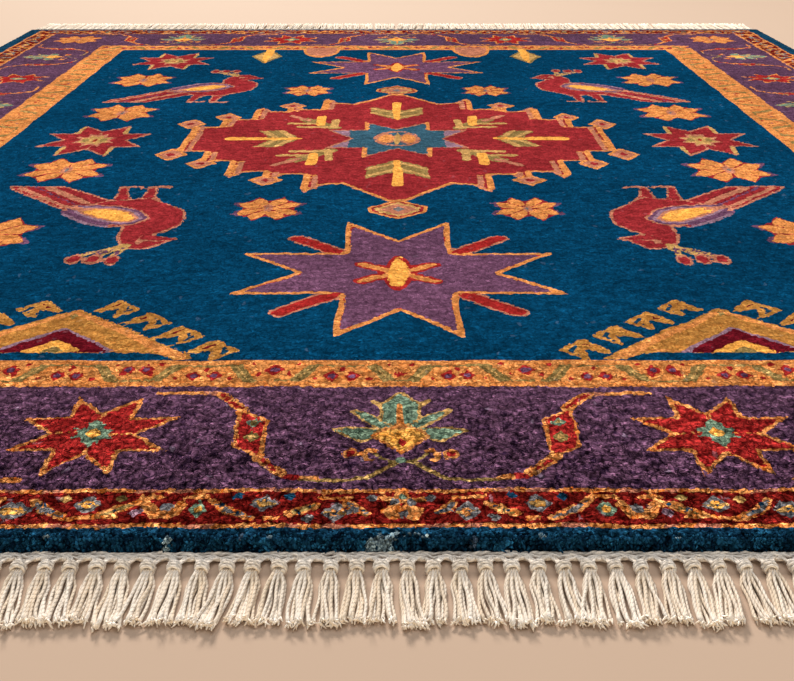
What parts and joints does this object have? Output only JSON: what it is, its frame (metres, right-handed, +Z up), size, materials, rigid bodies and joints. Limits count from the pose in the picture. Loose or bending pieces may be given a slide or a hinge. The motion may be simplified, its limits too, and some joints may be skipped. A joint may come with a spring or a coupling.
{
  "type": "persian rug",
  "caption": "Rectangular hand-knotted wool rug lying flat, with knotted cotton tassel fringes along both ends.",
  "frame": {"origin": "middle of the underside of the pile, on the surface that the rug lies on", "axes": "+X along the rug's width, +Y along its length from the near end to the far end, +Z up out of the pile"},
  "size_m": [1.7017, 2.531, 0.01],
  "materials": {
    "wool_pile": "knotted wool pile in navy, purple, madder red and gold, matt with a soft sheen",
    "cotton_warp": "undyed off-white two-ply cotton warp, knotted into tassels"
  },
  "bodies": {
    "root": {"pile": "wool_pile", "fringe_near": "cotton_warp", "fringe_far": "cotton_warp"}
  },
  "joints": []
}
